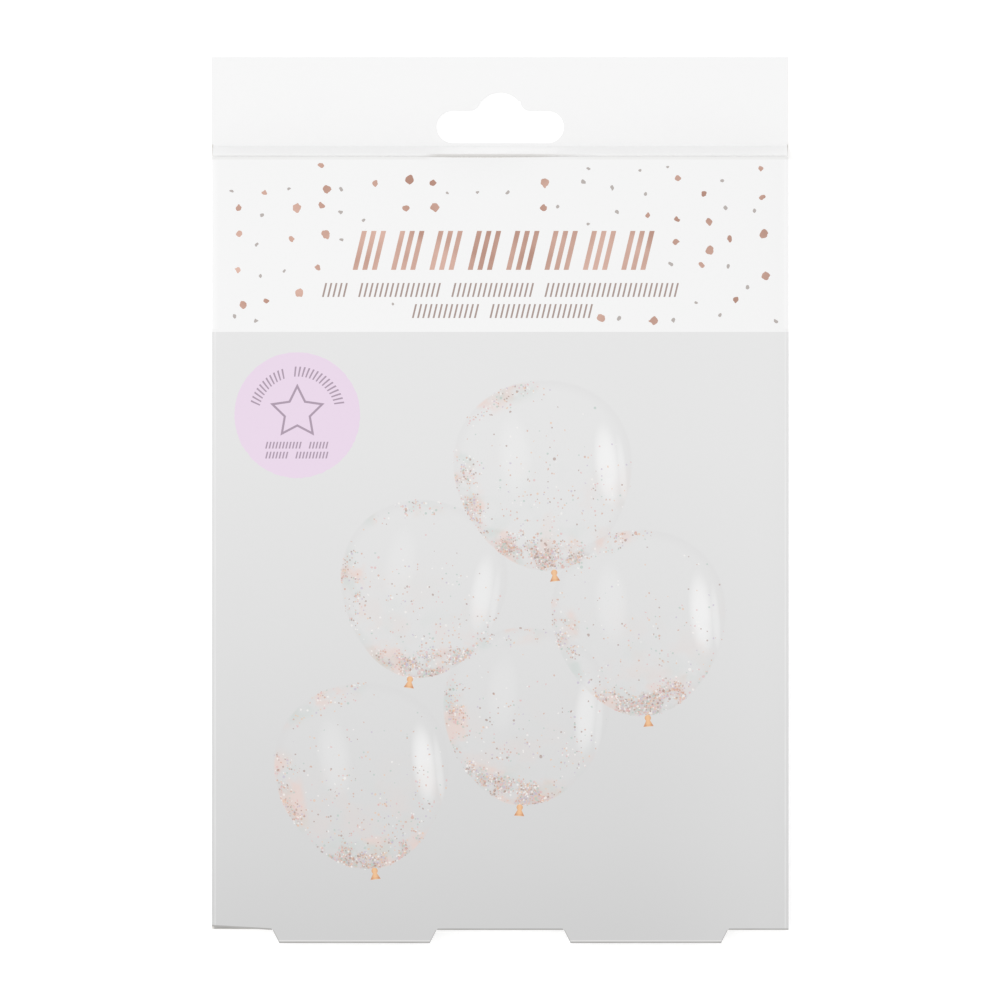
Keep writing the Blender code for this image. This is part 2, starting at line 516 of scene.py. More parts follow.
@dataclass(frozen=True)
class RawBoard:
    """Uncoated board: the inside of the carton, and its cut edges."""

    name: str
    pale: Colour
    dark: Colour
    roughness: float = 0.82

    def made(self) -> bpy.types.Material:
        """The board, with short fibres and a little mottling.

        Returns:
            The material.
        """
        paint = Paint(self.name)
        fibres = paint.noise(2600.0, 5.0)
        mottle = paint.noise(160.0, 3.0)
        share = (fibres * 0.6 + mottle * 0.4).rise(0.34, 0.68)
        paint.feed("Base Color", paint.over(self.dark, self.pale, share))
        paint.feed("Roughness", self.roughness + (fibres - 0.5) * 0.12)
        paint.feed("Specular IOR Level", 0.3)
        paint.bump(fibres, 0.03, 0.5)
        return paint.material


@dataclass(frozen=True)
class StrokeRow:
    """A row of slanted strokes in the place of an inscription, in millimetres.

    The groups are the stretches that have strokes, counted in pitches from the left end, and
    the last of every few strokes is left out.
    """

    left: float
    low: float
    high: float
    pitch: float
    stroke: float
    groups: tuple[tuple[float, float], ...]
    every: int = 0
    slant: float = 0.24

    def mask(self, x: Wire, y: Wire) -> Wire:
        """One on the strokes.

        Args:
            x: Place along the row.
            y: Place across the row.

        Returns:
            The mask.
        """
        along = x - (y - (self.low + self.high) / 2) * self.slant
        step = (along - self.left) * (1 / self.pitch)
        cell = step.floor()
        off = abs(step - cell - 0.5) * self.pitch
        mask = (off < self.stroke / 2) * y.within(self.low, self.high)
        if self.every:
            mask = mask * (cell.maths("FLOORED_MODULO", cell, self.every) < self.every - 1.5)
        return mask * reduce(or_, (step.within(start, end) for start, end in self.groups))


@dataclass(frozen=True)
class Badge:
    """The round lilac badge with a star's outline and rows of short strokes."""

    x: float = -51.0
    y: float = 21.2
    radius: float = 15.8
    disc: Colour = ink(236, 217, 236)
    marks: Colour = ink(158, 138, 157)
    star_radius: float = 6.6
    star_waist: float = 0.5  # of its radius
    star_line: float = 0.55
    star_rise: float = 0.7
    round_row: StrokeRow = StrokeRow(-14.7, 9.7, 12.2, 1.05, 0.4, ((0, 11), (13, 28)), slant=0.15)
    round_scale: float = 11.0  # millimetres to the radian along it
    rows: tuple[StrokeRow, ...] = (
        StrokeRow(-8.1, -8.4, -6.7, 0.84, 0.38, ((0, 11), (13, 19))),
        StrokeRow(-8.1, -10.9, -9.2, 0.84, 0.38, ((0, 7), (9, 19))),
    )

    def star(self, x: Wire, y: Wire) -> Wire:
        """One on the star's outline.

        Args:
            x: Place from the star's middle.
            y: The same.

        Returns:
            The mask.
        """
        far = (x * x + y * y) ** 0.5
        angle = x.maths("ARCTAN2", x, y)
        sector = math.tau / 5
        turn = abs(angle.maths("FLOORED_MODULO", angle + sector / 2, sector) - sector / 2)
        across = far * turn.maths("SINE", turn)
        along = far * turn.maths("COSINE", turn)
        waist = self.star_radius * self.star_waist
        run_x = waist * math.sin(sector / 2)
        run_y = waist * math.cos(sector / 2) - self.star_radius
        length = math.hypot(run_x, run_y)
        off = (along - self.star_radius) * (run_x / length) - across * (run_y / length)
        return abs(off) < self.star_line / 2

    def lay(self, paint: Paint) -> None:
        """Lay the badge over the picture.

        Args:
            paint: The paint.
        """
        x, y = paint.x - self.x, paint.y - self.y
        far = (x * x + y * y) ** 0.5
        ragged = far + (paint.noise(900.0) - 0.5) * 0.5
        paint.lay(self.disc, (ragged < self.radius) * 0.97)
        angle = x.maths("ARCTAN2", x, y)
        marks = self.round_row.mask(angle * self.round_scale, far) | self.star(x, y - self.star_rise)
        marks = reduce(or_, (row.mask(x, y) for row in self.rows), marks)
        paint.lay(self.marks, marks * 0.85)


@dataclass(frozen=True)
class ClearBalloon:
    """One of the clear balloons of the printed picture, in millimetres."""

    x: float
    y: float
    radius: float
    tilt: float
    lean: float  # of the heap of confetti in it, in degrees from straight down
    light: float = 1.0
    # each gleam's place and narrowness across, the same along, in radii, and its strength
    gleams: tuple[tuple[float, float, float, float, float], ...] = (
        (0.71, 6.4, 0.05, 1.9, 0.6),
        (0.87, 17.0, -0.02, 2.3, 0.3),
        (-0.3, 4.6, 0.25, 1.9, 0.2),
    )

    def lay(self, paint: Paint) -> Wire:
        """Lay the balloon over the picture.

        Args:
            paint: The paint.

        Returns:
            How thickly its confetti lies, from 0 to 1.
        """
        c, s = math.cos(math.radians(self.tilt)), math.sin(math.radians(self.tilt))
        dx, dy = paint.x - self.x, paint.y - self.y
        u = (dx * c + dy * s) * (1 / self.radius)
        v = (dy * c - dx * s) * (1 / self.radius)
        waist = u / (1.0 + v * 0.13)
        far = (waist * waist + v * v * 0.86) ** 0.5
        inside = far.fall(0.97, 1.0)
        rim = far.rise(0.86, 0.985) * inside
        paint.lay(ink(240, 240, 240), inside * 0.05)
        paint.lay(ink(204, 202, 203), rim * 0.13)
        spots = [
            (((u - x) * thin) ** 2.0 + ((v - y) * low) ** 2.0).fall(0.0, 1.0) * strength
            for x, thin, y, low, strength in self.gleams
        ]
        paint.lay(ink(252, 252, 252), reduce(or_, spots) * inside * self.light)
        lean = math.radians(self.lean)
        down = u * math.sin(lean) - v * math.cos(lean)
        heap = down.rise(0.58, 0.9) * far.rise(0.45, 0.85)
        left = waist.fall(-0.9, -0.62) * v.rise(-0.75, -0.3) * v.fall(-0.05, 0.55) * 0.62
        top = far.rise(0.72, 0.95) * v.rise(0.55, 0.85) * waist.fall(-0.25, 0.35) * 0.3
        return (heap | left | top | v.fall(-1.1, 0.9) * 0.13) * inside

    def knot(self, paint: Paint) -> None:
        """Lay the balloon's knot over the picture: a bead with a short flared neck under it.

        Args:
            paint: The paint.
        """
        c, s = math.cos(math.radians(self.tilt)), math.sin(math.radians(self.tilt))
        dx, dy = paint.x - self.x, paint.y - self.y
        u = abs(dx * c + dy * s)
        down = (dx * s - dy * c) - self.radius * 1.075
        bead = (u * u + (down - 0.35) ** 2.0) < 0.62
        neck = (u < 0.3 + (down - 0.6) * 0.52) * down.within(0.4, 2.5)
        shade = u.rise(0.1, 1.1) * 0.75 + (down - 2.0).within(0.0, 0.3) * 0.25
        gold = paint.over(ink(243, 193, 142), ink(205, 133, 84), shade)
        paint.lay(gold, (bead | neck) * 0.92)


@dataclass(frozen=True)
class FrontPrint:
    """The white coated card with its print, by places on the carton in millimetres."""

    header_white: Colour = ink(250, 250, 250)
    band_white: Colour = ink(247, 247, 247)
    band_top: float = 86.2
    ground: tuple[tuple[float, int], ...] = ((0.0, 232), (0.2, 230), (0.5, 224), (0.83, 215), (1.0, 208))
    ground_height: float = 154.0  # over which the grey deepens in these steps
    fold_place: float = 71.65  # of the front's side folds
    gap_opens: tuple[float, float] = (-20.0, -15.5)  # where the front's top edge starts to gape
    gap_closes: tuple[float, float] = (5.0, 26.0)
    top_edge_shade: tuple[float, float] = (85.3, 85.65)  # painted shade: over which the front's top edge is painted the grey of the shaded lid
    nose_shade_levels: tuple[float, float] = (6.4, 7.3)  # painted shade: between which the lid's nose is painted darker, as shade in the gap under the front's edge
    nose_shade_from: float = 86.0
    roughness: float = 0.44
    foil_dark: Colour = ink(170, 130, 115)
    foil_pale: Colour = ink(208, 172, 158)
    foil_metal: float = 0.4
    foil_gloss: float = 0.14
    dull: Colour = ink(170, 150, 143)
    fleck_pitch: float = 6.9
    fleck_rows: tuple[float, float] = (44.3, 84.3)
    clear: tuple[tuple[float, float, float, float], ...] = (  # of flecks: left, right, low, high
        (-47.0, 47.0, 49.9, 56.5),
        (-25.0, 25.0, 43.6, 51.0),
        (-39.5, 39.5, 55.0, 69.0),
        (-13.5, 9.0, 68.0, 76.9),
    )
    balloons: tuple[ClearBalloon, ...] = (
        ClearBalloon(11.0, 6.0, 22.5, 6.0, -14.0),
        ClearBalloon(-19.5, -22.5, 21.0, -8.0, 10.0, 0.7),
        ClearBalloon(35.0, -31.0, 22.0, 5.0, 4.0),
        ClearBalloon(6.5, -54.5, 21.0, -4.0, -8.0, 0.7),
        ClearBalloon(-34.5, -69.5, 22.0, 7.0, -4.0),
    )
    badge: Badge = field(default_factory=Badge)
    headline: StrokeRow = StrokeRow(-36.5, 57.7, 67.5, 2.41, 1.25, ((0, 31),), 4)
    lines: tuple[StrokeRow, ...] = (
        StrokeRow(-44.8, 50.9, 54.4, 1.3, 0.46, ((0, 5), (7, 23), (25, 41), (43, 69))),
        StrokeRow(-22.2, 45.6, 49.1, 1.3, 0.46, ((0, 13), (15, 35))),
    )

    def bare(self, x: Wire, y: Wire) -> Wire:
        """One where flecks keep clear of the rows and of the bare place above them."""
        return reduce(or_, (x.within(a, b) * y.within(low, high) for a, b, low, high in self.clear))

    def flecks(self, paint: Paint) -> tuple[Wire, Wire]:
        """The flecks of the band: small grey ones among larger ones of foil, none touching.

        Args:
            paint: The paint.

        Returns:
            One on the foil flecks, and one on the grey ones.
        """
        wobble = paint.noise(720.0, 1.0, "Color")
        bend_x = (paint.split(wobble, "X") - 0.5) * 1.1
        bend_y = (paint.split(wobble, "Y") - 0.5) * 1.1
        cells = paint.node(
            "ShaderNodeTexVoronoi",
            {"voronoi_dimensions": "2D", "distance": "MINKOWSKI"},
            {
                "Vector": paint.vector(paint.x + bend_x, paint.y + bend_y),
                "Scale": 1 / self.fleck_pitch,
                "Exponent": 1.6,
                "Randomness": 0.72,
            },
            "Distance",
        )
        chance = Wire(paint, cells.socket.node.outputs["Color"])
        middle = Wire(paint, cells.socket.node.outputs["Position"])
        x, y = paint.split(middle, "X"), paint.split(middle, "Y")
        kind = paint.split(chance, "X")
        size = (kind > 0.45) * 0.26 + (kind > 0.82) * 0.34 + paint.split(chance, "Y") * 0.16 + 0.4
        kept = (paint.split(chance, "Z") < 0.95) * (abs(x) < 70.2) * y.within(*self.fleck_rows)
        mask = (cells * self.fleck_pitch < size) * kept * (1.0 - self.bare(x, y))
        return mask * (kind > 0.45), mask * (kind < 0.45)

    def confetti(self, paint: Paint, thick: Wire) -> None:
        """Lay specks of confetti over the picture.

        Args:
            paint: The paint.
            thick: How thickly they lie, from 0 to 1.
        """
        cloud = paint.noise(150.0, 4.0, "Color")
        warm, cool = paint.split(cloud, "X"), paint.split(cloud, "Y")
        veil = thick.rise(0.0, 0.3)
        clump = paint.noise(260.0, 2.0).rise(0.4, 0.6) * 0.9 + 0.1
        paint.lay(ink(238, 208, 198), warm.rise(0.46, 0.66) * veil * 0.55)
        paint.lay(ink(200, 212, 207), cool.rise(0.48, 0.68) * veil * 0.45)
        paint.lay(ink(202, 188, 181), thick.rise(0.25, 0.9) * clump * 0.5)
        inks = [
            (0.0, ink(212, 160, 136)),
            (0.2, ink(228, 182, 182)),
            (0.36, ink(166, 132, 120)),
            (0.5, ink(178, 200, 190)),
            (0.62, ink(196, 182, 206)),
            (0.72, ink(236, 194, 162)),
            (0.85, ink(250, 247, 244)),
        ]
        for pitch, radius, most in ((0.52, 0.25, 1.3), (0.85, 0.33, 0.9), (1.7, 0.4, 0.3)):
            cells = paint.node(
                "ShaderNodeTexVoronoi",
                {"voronoi_dimensions": "2D"},
                {"Vector": paint.vector(paint.x, paint.y + pitch), "Scale": 1 / pitch},
                "Distance",
            )
            chance = Wire(paint, cells.socket.node.outputs["Color"])
            size = radius * (0.6 + paint.split(chance, "Y") * 0.4)
            mask = (cells * pitch < size) * (paint.split(chance, "X") < thick * clump * most)
            kind = paint.ramp(paint.split(chance, "Z"), inks, step=True)
            paint.lay(kind, mask * 0.6)

    def lower_edge_light_and_shade(self, paint: Paint, front: Wire) -> None:
        """Lay painted light and shade along the front's lower edge over the picture: a pale line as a
        painted highlight of the lit white cut edge, then a dark line of painted shade under it.

        Args:
            paint: The paint.
            front: One on the front.
        """
        inner, outer = FEET
        height = paint.y - LOWER_EDGE
        beyond = abs(abs(paint.x) - (inner + outer) / 2)
        slant = height * (FOOT_TAPER / FOOT_HEIGHT) + (outer - inner) / 2 - beyond
        foot = slant > -0.1
        lift = ((0.0 - paint.x - outer) * (CORNER_LIFT / (HALF_WIDTH - outer))) | 0.0
        above = height - lift + foot * FOOT_HEIGHT
        uneven = paint.noise(90.0, 3.0) * 0.8 + 0.5
        # painted highlight: the pale line of the lit white cut edge, along the feet
        pale = above.within(0.42, 0.8) * foot * front * uneven
        paint.lay(ink(232, 231, 230), pale * 0.8)
        # painted shade: the dark line where the cut edge and the fold below it lie in shade
        dark = above.fall(0.28, 0.5) | slant.fall(0.1, 0.4) * (height < 0.0) * 0.6
        paint.lay(ink(168, 166, 164), dark * front * uneven)

    def seam(self, paint: Paint, front: Wire) -> None:
        """Lay painted shade at the seam under the header: the front's top edge in the grey of the shaded
        lid, and the lid's nose darker in the gap.

        Args:
            paint: The paint.
            front: One on the front.
        """
        gap = paint.x.rise(*self.gap_opens) * paint.x.fall(*self.gap_closes)
        bare = paint.y.rise(*self.top_edge_shade) * (1.0 - gap)
        # painted shade: the front's top edge takes the grey of the shaded lid, except where it gapes
        paint.lay(ink(240, 240, 239), bare * front)
        nose = paint.z.rise(*self.nose_shade_levels) * (paint.y > self.nose_shade_from) * (1.0 - front)
        # painted shade: the lid's nose darker in the gap under the front's edge
        paint.lay(ink(227, 225, 223), nose * gap)

    def grey(self, paint: Paint) -> Wire:
        """The print's grey ground, deeper downwards and a little paler to the right.

        Args:
            paint: The paint.

        Returns:
            The grey.
        """
        stops = [(place, ink(tone, tone, tone)) for place, tone in self.ground]
        ground = paint.ramp((BAND_FOOT - paint.y) * (1 / self.ground_height), stops)
        return paint.over(ground, ink(240, 240, 240), paint.x.rise(30.0, 72.0) * 0.16)

    def fold_wear_and_highlight(self, paint: Paint) -> None:
        """Lay a pale line along the front's side folds: painted highlight where the rounded folds catch
        the light, and wear of the cracked ink.
        """
        crease = abs(abs(paint.x) - self.fold_place).fall(0.05, 0.32)
        # painted highlight and wear: the pale crease line along each side fold
        paint.lay(ink(250, 250, 250), crease * (paint.noise(120.0, 4.0) * 0.4 + 0.05))

    def rough(self, paint: Paint) -> Wire:
        """The print's roughness, in soft clouds."""
        return self.roughness + (paint.noise(24.0, 2.0) - 0.5) * 0.1

    def varnished(self, paint: Paint, rough: Wire) -> bpy.types.Material:
        """Feed the shader of a printed card.

        Args:
            paint: The paint, with the whole print.
            rough: The print's own roughness.

        Returns:
            The material.
        """
        paint.feed("Base Color", paint.colour)
        paint.feed("Roughness", rough)
        paint.feed("Specular IOR Level", 0.4)
        paint.bump(paint.noise(3200.0, 3.0), 0.01, 0.25)
        return paint.material

    def made(self) -> bpy.types.Material:
        """The printed card, without the picture.

        Returns:
            The material.
        """
        paint = Paint("printed_card")
        front = paint.z > FRONT_LEVEL
        paint.colour = self.header_white
        paint.lay(self.band_white, front)
        paint.lay(self.grey(paint), paint.y.fall(BAND_FOOT - 0.05, BAND_FOOT + 0.05))
        band = front * paint.y.within(BAND_FOOT + 0.8, self.band_top)
        foil, grey_flecks = self.flecks(paint)
        foil = (foil | self.headline.mask(paint.x, paint.y)) * band
        lines = reduce(or_, (row.mask(paint.x, paint.y) for row in self.lines))
        self.fold_wear_and_highlight(paint)
        paint.lay(ink(186, 178, 174), grey_flecks * band)
        paint.lay(self.dull, lines * band)
        glow = paint.noise(55.0, 3.0).rise(0.3, 0.7)
        paint.lay(paint.over(self.foil_dark, self.foil_pale, glow), foil)
        # painted highlight: the band paler towards the rounded side folds
        fold_highlight = abs(paint.x).rise(70.4, HALF_WIDTH) * band
        paint.lay(ink(254, 254, 254), fold_highlight * 0.6)
        # painted shade at the seam under the header
        self.seam(paint, front)
        paint.feed("Metallic", foil * self.foil_metal)
        return self.varnished(paint, self.rough(paint) - foil * self.foil_gloss)

    def made_picture(self) -> bpy.types.Material:
        """The front's picture below the white band.

        Returns:
            The material.
        """
        paint = Paint("printed_picture")
        paint.colour = self.grey(paint)
        self.confetti(paint, reduce(or_, [balloon.lay(paint) for balloon in self.balloons]))
        for balloon in self.balloons:
            balloon.knot(paint)
        self.badge.lay(paint)
        self.fold_wear_and_highlight(paint)
        # painted highlight and painted shade along the front's lower edge
        self.lower_edge_light_and_shade(paint, paint.z > FRONT_LEVEL)
        return self.varnished(paint, self.rough(paint))


@dataclass(frozen=True)
class Finishes:
    """The materials of the card's faces."""

    printed: FrontPrint = field(default_factory=FrontPrint)
    inside: RawBoard = RawBoard("uncoated_inside", ink(240, 239, 235), ink(222, 220, 214))
    cut: RawBoard = RawBoard("cut_board", ink(243, 241, 237), ink(214, 209, 201), 0.88)

    def made(self) -> dict[Side, bpy.types.Material]:
        """Make the materials.

        Returns:
            The materials by side of the card.
        """
        return {
            Side.PRINTED: self.printed.made(),
            Side.INSIDE: self.inside.made(),
            Side.CUT: self.cut.made(),
            Side.PICTURE: self.printed.made_picture(),
        }


@dataclass
class Card:
    """What the parts of the one sheet of card have in common, in millimetres."""

    materials: dict[Side, bpy.types.Material]
    board: float = 0.4
    half_width: float = HALF_WIDTH
    crease: float = 88.6
    crease_level: float = 1.6
    bend_from: float = 89.41  # where the header's front layer starts to bend into the lid
    bend_radius: float = 0.8  # of the board's middle
    slope: float = 109.67  # the lid's, in degrees from +Y
    nose_radius: float = 0.6  # of the board's middle
    flap_level: float = 7.355
    lip: float = 0.02  # the narrow strip that a bend is spun from

    def dress(self, piece: Piece) -> None:
        """Give a piece its three common slots."""
        for side in (Side.PRINTED, Side.INSIDE, Side.CUT):
            piece.body.data.materials.append(self.materials[side])

    def lay_board(self, piece: Piece, up: Callable[[Vector], bool]) -> None:
        """Turn a sheet's faces outwards, give it its slots and thicken it to board.

        Args:
            piece: The sheet.
            up: Tells, by its middle in millimetres, a face that has to look up.
        """
        piece.settle(up)
        bpy.ops.object.mode_set(mode="OBJECT")
        self.dress(piece)
        piece.thicken(self.board)

    def hand_over(self, piece: Piece, *nodes: str) -> bpy.types.Object:
        """Log a finished piece, and let it stand for its nodes.

        Args:
            piece: The piece.
            nodes: The frame's nodes that it replaces.

        Returns:
            Its object.
        """
        self.lay_out(piece.body)
        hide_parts(*nodes)
        faces = len(piece.body.data.polygons)
        LOG.info("%s: %d faces, for %s", piece.body.name, faces, ", ".join(nodes))
        return piece.body

    @staticmethod
    def lay_out(body: bpy.types.Object, share: float = 0.69) -> None:
        """Make the UV map, with most of it for the printed front.

        Args:
            body: The piece.
            share: How much of the map's width the front has.
        """
        activate(body)
        body.data.uv_layers.new(name=BAKE_MAP)
        bpy.ops.object.mode_set(mode="EDIT")
        bpy.ops.mesh.select_all(action="SELECT")
        bpy.ops.uv.smart_project(angle_limit=1.15, island_margin=0.004, scale_to_bounds=True)
        bpy.ops.object.mode_set(mode="OBJECT")
        mesh = body.data
        layer = mesh.uv_layers[BAKE_MAP]
        front = [
            face
            for face in mesh.polygons
            if face.material_index in (Side.PRINTED.value, Side.PICTURE.value)
            and face.normal.z > 0.3
            and face.center.z > FRONT_LEVEL * MM
        ]
        if not front:
            return
        place = np.empty(len(mesh.loops) * 2, np.float32)
        layer.uv.foreach_get("vector", place)
        place = place.reshape(-1, 2)
        place[:, 0] = share + 0.01 + place[:, 0] * (0.985 - share)
        low, tall = -111.6, 198.0  # the stretch of Y that the front has in the map
        for face in front:
            for loop in face.loop_indices:
                x, y, _ = mesh.vertices[mesh.loops[loop].vertex_index].co / MM
                across = (x + HALF_WIDTH) / (2 * HALF_WIDTH) * (share - 0.01)
                place[loop] = (0.005 + across, 0.005 + (y - low) / tall * 0.99)
        layer.uv.foreach_set("vector", place.ravel())


@dataclass
class CartonBody(Card):
    """The folded tube with its feet, the doubled header, the bottom and the dust flaps."""

    depth: float = 9.0
    front_bow: float = 1.0
    fold: float = 0.8
    front_edge: float = 85.8
    front_reach: float = 0.38  # of its top edge over the lid's nose
    gape_middle: float = -3.5  # of the stretch where it gapes
    gape_half: float = 15.0
    gape_back: float = 0.24  # how far the edge draws back where it gapes
    gape_depth: float = 0.55
    header_edge: float = 111.5
    header_face: float = 1.1
    header_step: float = 0.2  # by which its left edge stands out
    side_edge: float = 84.7
    flap_top: float = 5.95
    flap_reach: tuple[float, float] = (60.5, 57.5)
    flap_end: float = 0.45  # of a flap's width that its end has
    bottom_face: float = -107.9
    bottom_play: float = 0.02  # to the walls
    notch_level: float = 5.6
    slot: tuple[float, float, float] = (16.0, 89.8, 8.0)  # its half length, foot and height
    bump: tuple[float, float] = (6.0, 1.4)  # its radius, and its centre's depth below the slot's top
    shoulder: tuple[float, float] = (7.553, 2.5)  # of the bump: its place and radius
    columns: int = 26
    rows: tuple[float, ...] = (
        -104.0, -92.0, -70.0, -45.0, -20.0, 5.0, 30.0, BAND_FOOT, 50.0, 63.0, 75.0, 84.7
    )
    # the closed lid holds the bow down near the mouth: a row's place, and its share of the bow
    held_rows: tuple[tuple[float, float], ...] = (
        (50.0, 0.94), (63.0, 0.72), (75.0, 0.22), (84.7, -0.2), (85.8, -0.25)
    )

    def bow(self, x: float) -> float:
        """How far the front stands out of the plane of its folds."""
        return self.front_bow * (1 - (x / (self.half_width - self.fold)) ** 2)

    def column_places(self) -> list[float]:
        """Where the front is cut from top to bottom.

        Returns:
            The places along X: the feet's ends, and even steps that keep clear of them.
        """
        half = self.half_width - self.fold
        even = [half * (2 * step / self.columns - 1) for step in range(1, self.columns)]
        feet = [side * x for side in (-1, 1) for x in FEET]
        clear = [x for x in even if min(abs(x - end) for end in feet) > 1.5]
        return sorted({round(x, 4) for x in feet + clear})

    def raise_front(self, piece: Piece, level: float) -> None:
        """Bow the corners at a level, column by column.

        Args:
            piece: The piece.
            level: Their level before.
        """
        for x in self.column_places():
            piece.pick(Part.CORNER, lambda at, way: near(at.x, x) and near(at.z, level))
            piece.move(z=self.bow(x))

    def tube(self) -> Piece:
        """The tube's outer face: panels, rounded side folds, and the bow of the front.

        Returns:
            The sheet, open at its ends.
        """
        w = self.half_width
        piece = Piece("card_body", (-w, LOWER_EDGE, 0), (w, self.front_edge, self.depth))
        piece.pick(Part.FACE, lambda at, way: abs(way.y) > 0.9)
        bpy.ops.mesh.delete(type="ONLY_FACE")
        piece.bevel(1, self.fold, 5)
        piece.slice(0, self.column_places())
        piece.slice(1, self.rows)
        piece.pick(Part.FACE, lambda at, way: abs(way.x) > 0.99)
        piece.bisect(2, self.flap_top)
        self.raise_front(piece, self.depth)
        for y, share in self.held_rows:
            piece.pick(Part.CORNER, lambda at, way: near(at.y, y) and at.z > self.depth + 0.001)
            piece.resize((1, 1, share), (0, 0, self.depth))
        return piece

    def gape(self, x: float) -> tuple[float, float]:
        """How the front's top edge reaches over the lid, and gapes about the middle."""
        share = math.exp(-(((x - self.gape_middle) / self.gape_half) ** 4))
        return self.front_reach - self.gape_back * share, self.gape_depth * share

    def corner_lift(self, x: float) -> tuple[float, float]:
        """How the front's lower edge slants up to its left corner."""
        outer = FEET[1]
        return CORNER_LIFT * max(0.0, (-x - outer) / (self.half_width - outer)), 0.0

    def add_feet(self, piece: Piece) -> None:
        """Draw the two feet out of the front's lower edge, and give both its edges their lines.

        Args:
            piece: The tube.
        """
        inner, outer = FEET
        high = self.depth - 0.1
        piece.pick(
            Part.EDGE,
            lambda at, way: near(at.y, LOWER_EDGE) and at.z > high and inner < abs(at.x) < outer,
        )
        piece.extrude(y=-FOOT_HEIGHT)
        for side in (-1, 1):
            piece.pick(Part.CORNER, lambda at, way: at.y < LOWER_EDGE - 3 and at.x * side > 0)
            piece.resize((FOOT_SHARE, 1, 1), (side * (inner + outer) / 2, LOWER_EDGE, self.depth))
        half, over = self.depth / 2, self.depth - 0.4
        piece.move_rows(lambda at: near(at.y, LOWER_EDGE) and at.z > half, self.corner_lift)
        piece.move_rows(lambda at: near(at.y, self.front_edge) and at.z > over, self.gape)

    def add_header(self, piece: Piece) -> None:
        """Carry the back panel up, over and down again as the doubled header.

        Args:
            piece: The tube.
        """
        flat = self.half_width - self.fold
        edge = self.front_edge
        roll = self.header_face / 2
        turn = self.header_edge - roll
        piece.pick(Part.EDGE, lambda at, way: near(at.y, edge) and at.z < 0.01 and abs(at.x) < flat)
        piece.extrude(y=self.fold)
        piece.resize((self.half_width / flat, 1, 1), (0, 0, 0))
        piece.extrude(y=turn - edge - self.fold)
        piece.spin(180, (0, turn, roll), (1, 0, 0), 8)
        piece.extrude(y=self.bend_from - turn)
        piece.pick(Part.CORNER, lambda at, way: at.y > edge + self.fold + 1 and at.x < 0)
        piece.move(x=-self.header_step)

    def add_dust_flaps(self, piece: Piece) -> None:
        """Fold a flap in from the top of each side.

        Args:
            piece: The tube.
        """
        w, top, high = self.half_width, self.side_edge, self.flap_top
        start, end = self.flap_reach
        piece.pick(Part.FACE, lambda at, way: abs(at.x) > w - 0.01 and at.y > top and abs(way.x) > 0.99)
        bpy.ops.mesh.delete(type="FACE")
        for side in (-1, 1):
            piece.pick(
                Part.EDGE,
                lambda at, way: near(at.x, side * w)
                and near(at.y, top)
                and at.z < high
                and abs(way.z) > 0.9,
            )
            piece.spin(side * 90, (side * (w - self.fold), top, 0), (0, 0, 1), 5)
            piece.extrude(x=side * (start - w + self.fold))
            piece.extrude(x=side * (end - start))
            piece.resize((1, 1, self.flap_end), (0, top, (self.fold + high) / 2))

    def slot_cutter(self) -> Piece:
        """A cutter for the hang slot: a long slot with round ends, and a bump with soft shoulders.

        Returns:
            The cutter.
        """
        half, low, tall = self.slot
        radius, drop = self.bump
        place, soft = self.shoulder
        top = low + tall
        slot = Piece("slot_cutter", (-half, low, -4), (half, top, 6))
        slot.bevel(2, tall / 2 * ALMOST, 14)
        shoulders = Piece("slot_shoulders", (-place, top - 1, -4), (place, top + soft, 6))
        for side in (-1, 1):
            shoulders.cut(self.disc("shoulder", side * place, top + soft, soft))
        slot.cut(shoulders, "UNION")
        slot.cut(self.disc("bump", 0, top - drop, radius), "UNION")
        return slot

    @staticmethod
    def disc(name: str, x: float, y: float, radius: float) -> Piece:
        """A round cutter: a block with its upright edges rounded until they meet.

        Args:
            name: Its name.
            x: Its middle.
            y: The same.
            radius: Its radius.

        Returns:
            The cutter.
        """
        made = Piece(name, (x - radius, y - radius, -5), (x + radius, y + radius, 7))
        made.bevel(2, radius * ALMOST, 16)
        return made

    def bottom_layer(self, name: str, face: float) -> Piece:
        """One layer of the glued bottom.

        Args:
            name: Its name.
            face: Where its lower face is.

        Returns:
            The layer.
        """
        inset = self.board + self.bottom_play
        side, level = self.half_width - inset, self.depth - inset
        layer = Piece(name, (-side, face, inset), (side, face + self.board, level))
        layer.bevel(1, self.board, 3)
        layer.slice(0, self.column_places())
        self.raise_front(layer, level)
        return layer

    def add_bottom(self, piece: Piece) -> None:
        """Two layers of card in the lower end, the outer one with the places the feet came from.

        Args:
            piece: The carton.
        """
        face, level, top = self.bottom_face, self.notch_level, self.bottom_face + self.board
        outer = self.bottom_layer("bottom_outer", face)
        for side in (-1, 1):
            low, high = sorted(side * x for x in FEET)
            notch = Piece("notch", (low, face - 1, level), (high, top - 0.001, 12))
            notch.pick(Part.FACE, lambda at, way: way.z < -0.9)
            notch.resize((FOOT_SHARE, 1, 1), ((low + high) / 2, 0, level))
            outer.cut(notch)
        for layer in (outer, self.bottom_layer("bottom_inner", top + 0.01)):
            self.dress(layer)
            piece.join(layer)

    def lay_picture(self, piece: Piece) -> None:
        """Give the front below its white band the slot of the picture.

        Args:
            piece: The carton.
        """
        piece.body.data.materials.append(self.materials[Side.PICTURE])
        for face in piece.body.data.polygons:
            middle = face.center / MM
            front = face.normal.z > 0.3 and middle.z > FRONT_LEVEL and middle.y < BAND_FOOT
            if front and face.material_index == Side.PRINTED.value:
                face.material_index = Side.PICTURE.value

    def build(self) -> None:
        """Build the body and let it ride on the carton."""
        piece = self.tube()
        self.add_feet(piece)
        self.add_header(piece)
        self.add_dust_flaps(piece)
        self.lay_board(piece, lambda at: at.z > self.depth - 0.01)
        piece.cut(self.slot_cutter())
        self.add_bottom(piece)
        self.lay_picture(piece)
        piece.smooth()
        body = self.hand_over(piece, "carton", "bottom", "left_dust_flap", "right_dust_flap")
        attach(body, "carton")


